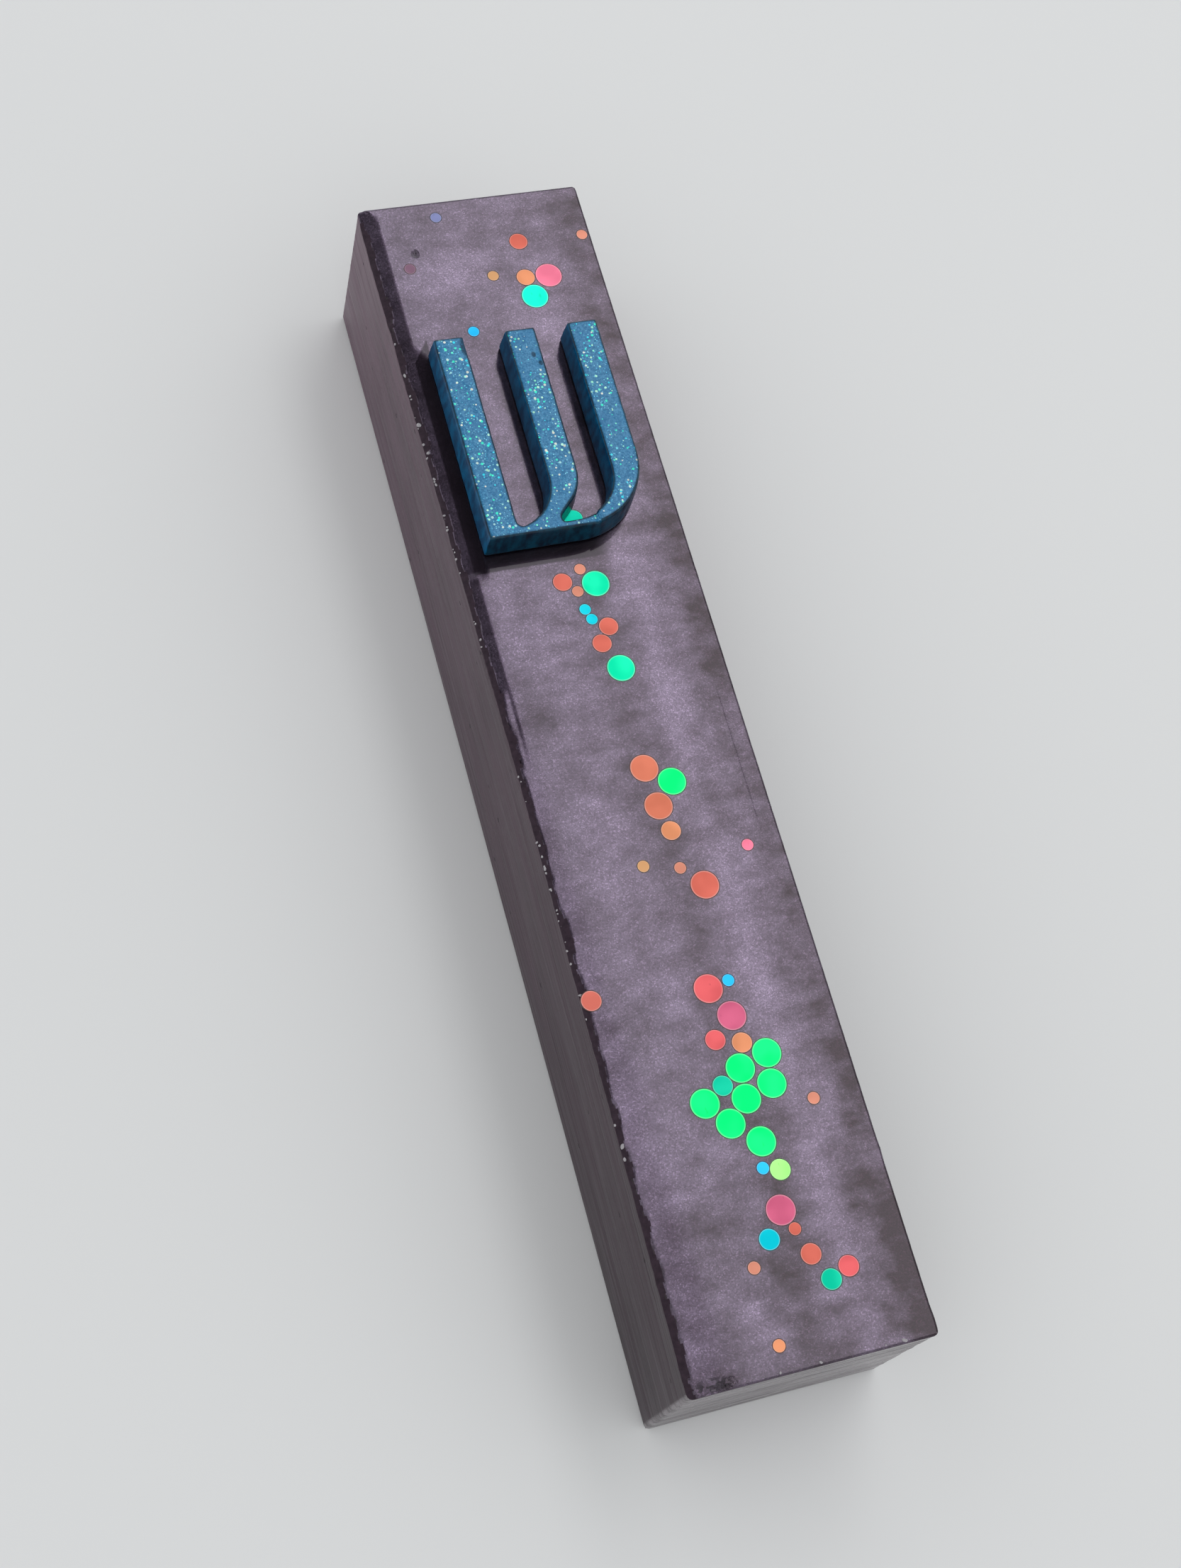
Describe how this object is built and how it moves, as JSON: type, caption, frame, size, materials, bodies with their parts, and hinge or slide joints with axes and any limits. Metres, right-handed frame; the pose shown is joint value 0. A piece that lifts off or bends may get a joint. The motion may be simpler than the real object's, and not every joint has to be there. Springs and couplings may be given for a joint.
{
  "type": "mezuzah case",
  "caption": "Rectangular cast resin case with a raised letter and glitter discs on its front, a scroll chamber behind an inset back cover, and adhesive pads.",
  "frame": {"origin": "centre of the outer faces of the two mounting pads, midway along and across the case", "axes": "+X across the width, +Y towards the upper end, +Z out of the front face"},
  "size_m": [0.025, 0.13, 0.0235],
  "materials": {
    "plum_resin": "glossy cast resin, dark plum with a cloudy pearl",
    "blue_glitter_resin": "glossy translucent blue resin full of fine glitter",
    "cover_plastic": "satin dark plum sheet",
    "parchment": "dry matt skin, left blank",
    "clear_film": "thin clear film",
    "foam_adhesive": "white foam with a tacky face",
    "glitter_green": "satin film",
    "glitter_turquoise": "satin film",
    "glitter_teal": "satin film",
    "glitter_cyan": "satin film",
    "glitter_blue": "satin film",
    "glitter_violet": "satin film",
    "glitter_lime": "satin film",
    "glitter_yellow": "satin film",
    "glitter_orange": "satin film",
    "glitter_coral": "satin film",
    "glitter_red": "satin film",
    "glitter_magenta": "satin film",
    "glitter_pink": "satin film",
    "glitter_salmon": "satin film"
  },
  "bodies": {
    "case": {"case_body": "plum_resin", "glitter_01_small_violet": "glitter_violet", "glitter_02_medium_coral": "glitter_coral", "glitter_03_small_yellow": "glitter_yellow", "glitter_04_medium_orange": "glitter_orange", "glitter_05_large_pink": "glitter_pink", "glitter_06_large_turquoise": "glitter_turquoise", "glitter_07_small_magenta": "glitter_magenta", "glitter_08_small_blue": "glitter_blue", "glitter_09_small_salmon": "glitter_salmon", "glitter_10_medium_turquoise": "glitter_turquoise", "glitter_11_small_salmon": "glitter_salmon", "glitter_12_medium_coral": "glitter_coral", "glitter_13_large_green": "glitter_green", "glitter_14_small_salmon": "glitter_salmon", "glitter_15_small_cyan": "glitter_cyan", "glitter_16_small_cyan": "glitter_cyan", "glitter_17_medium_coral": "glitter_coral", "glitter_18_medium_coral": "glitter_coral", "glitter_19_large_green": "glitter_green", "glitter_20_large_orange": "glitter_orange", "glitter_21_large_green": "glitter_green", "glitter_22_large_orange": "glitter_orange", "glitter_23_medium_orange": "glitter_orange", "glitter_24_small_yellow": "glitter_yellow", "glitter_25_small_pink": "glitter_pink", "glitter_26_small_salmon": "glitter_salmon", "glitter_27_large_coral": "glitter_coral", "glitter_28_medium_salmon": "glitter_salmon", "glitter_29_large_red": "glitter_red", "glitter_30_small_blue": "glitter_blue", "glitter_31_large_magenta": "glitter_magenta", "glitter_32_medium_red": "glitter_red", "glitter_33_medium_orange": "glitter_orange", "glitter_34_large_green": "glitter_green", "glitter_35_large_green": "glitter_green", "glitter_36_large_green": "glitter_green", "glitter_37_medium_teal": "glitter_teal", "glitter_38_large_green": "glitter_green", "glitter_39_large_green": "glitter_green", "glitter_40_large_green": "glitter_green", "glitter_41_large_green": "glitter_green", "glitter_42_small_salmon": "glitter_salmon", "glitter_43_small_blue": "glitter_blue", "glitter_44_medium_lime": "glitter_lime", "glitter_45_large_magenta": "glitter_magenta", "glitter_46_small_coral": "glitter_coral", "glitter_47_medium_cyan": "glitter_cyan", "glitter_48_medium_coral": "glitter_coral", "glitter_49_small_salmon": "glitter_salmon", "glitter_50_medium_red": "glitter_red", "glitter_51_medium_teal": "glitter_teal", "glitter_52_small_orange": "glitter_orange", "mounting_pad_lower": "foam_adhesive", "mounting_pad_upper": "foam_adhesive", "shin_letter": "blue_glitter_resin"},
    "cover": {"back_cover": "cover_plastic"},
    "scroll": {"parchment_scroll": "parchment", "scroll_sleeve": "clear_film"}
  },
  "joints": [
    {"name": "cover_lift", "type": "slide", "parent": "case", "child": "cover", "axis": [0, 0, -1], "range_m": [0, 0.06]},
    {"name": "scroll_lift", "type": "slide", "parent": "case", "child": "scroll", "axis": [0, 0, -1], "range_m": [0, 0.03]}
  ],
  "couplings": [
    {"joint": "scroll_lift", "follows": "cover_lift", "ratio": 0.5}
  ]
}
